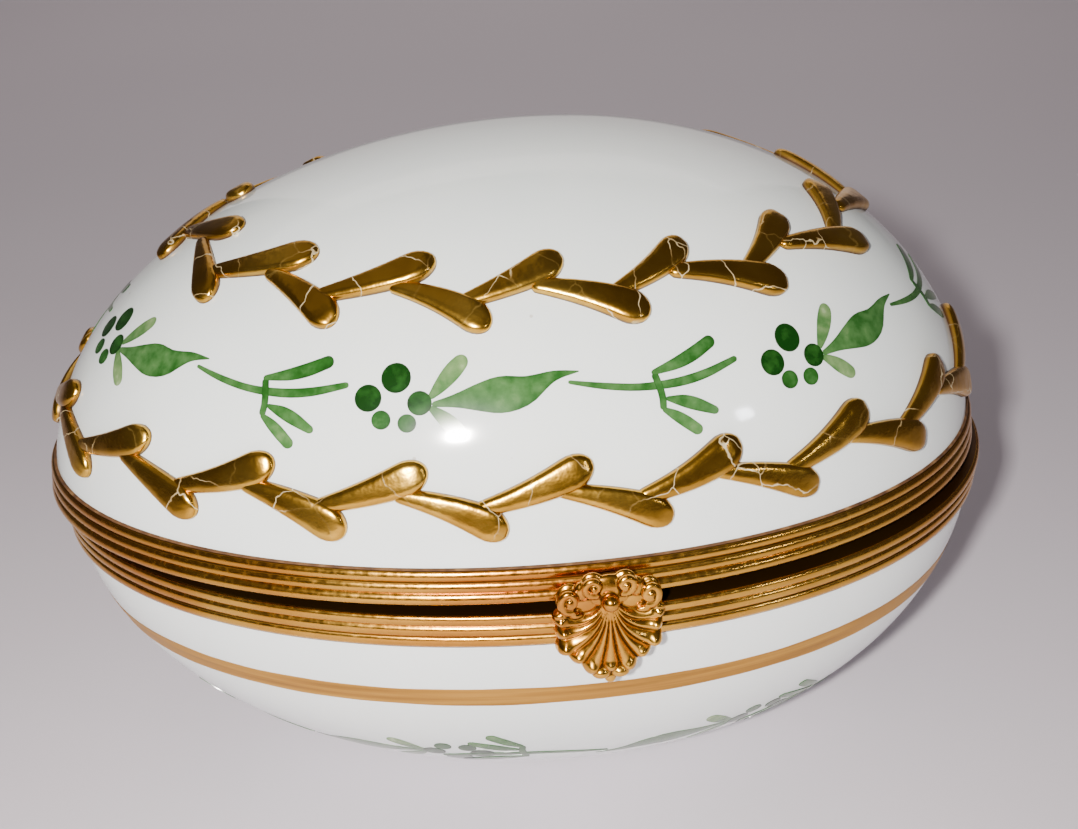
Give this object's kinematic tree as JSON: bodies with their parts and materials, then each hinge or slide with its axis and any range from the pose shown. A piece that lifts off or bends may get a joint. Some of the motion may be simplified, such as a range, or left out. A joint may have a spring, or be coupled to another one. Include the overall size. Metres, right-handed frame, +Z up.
{
  "type": "trinket box",
  "caption": "Egg-shaped porcelain trinket box on its side, with a rear-hinged domed lid, reeded gilt bezels and a sprung scallop clasp.",
  "frame": {"origin": "middle of the flat foot that the box rests on", "axes": "+X along the egg to its blunter end, -Y the front with the clasp, +Z up"},
  "size_m": [0.0901, 0.0704, 0.0578],
  "materials": {
    "porcelain": "white glaze with painted green sprigs and a matt gold band",
    "gilt_brass": "polished gilt brass",
    "raised_gilding": "raised paste fired on the glaze under burnished gold",
    "cement": "plaster bedding"
  },
  "bodies": {
    "bowl": {"bowl_porcelain": "porcelain", "bowl_bezel": "gilt_brass", "bowl_bedding": "cement", "bowl_hinge_leaf": "gilt_brass", "bowl_hinge_knuckle_1": "gilt_brass", "bowl_hinge_knuckle_3": "gilt_brass", "bowl_hinge_knuckle_5": "gilt_brass", "hinge_pin": "gilt_brass", "catch_peg": "gilt_brass"},
    "lid": {"lid_porcelain": "porcelain", "lid_bezel": "gilt_brass", "lid_bedding": "cement", "lid_hinge_leaf": "gilt_brass", "lid_hinge_knuckle_2": "gilt_brass", "lid_hinge_knuckle_4": "gilt_brass", "lid_garland_lower": "raised_gilding", "lid_garland_upper": "raised_gilding", "clasp_pad": "gilt_brass"},
    "clasp": {"clasp_shell": "gilt_brass"}
  },
  "joints": [
    {"name": "lid_hinge", "type": "hinge", "parent": "bowl", "child": "lid", "pos_m": [0, 0.03385, 0.02705], "axis": [-1, 0, 0], "range_deg": [-0.95, 95]},
    {"name": "clasp_spring", "type": "hinge", "parent": "lid", "child": "clasp", "pos_m": [0.0019, -0.03298, 0.03161], "axis": [-1, 0, 0], "range_deg": [0, 5], "stiffness_Nm_per_rad": 0.01, "springref_deg": -5.73}
  ]
}
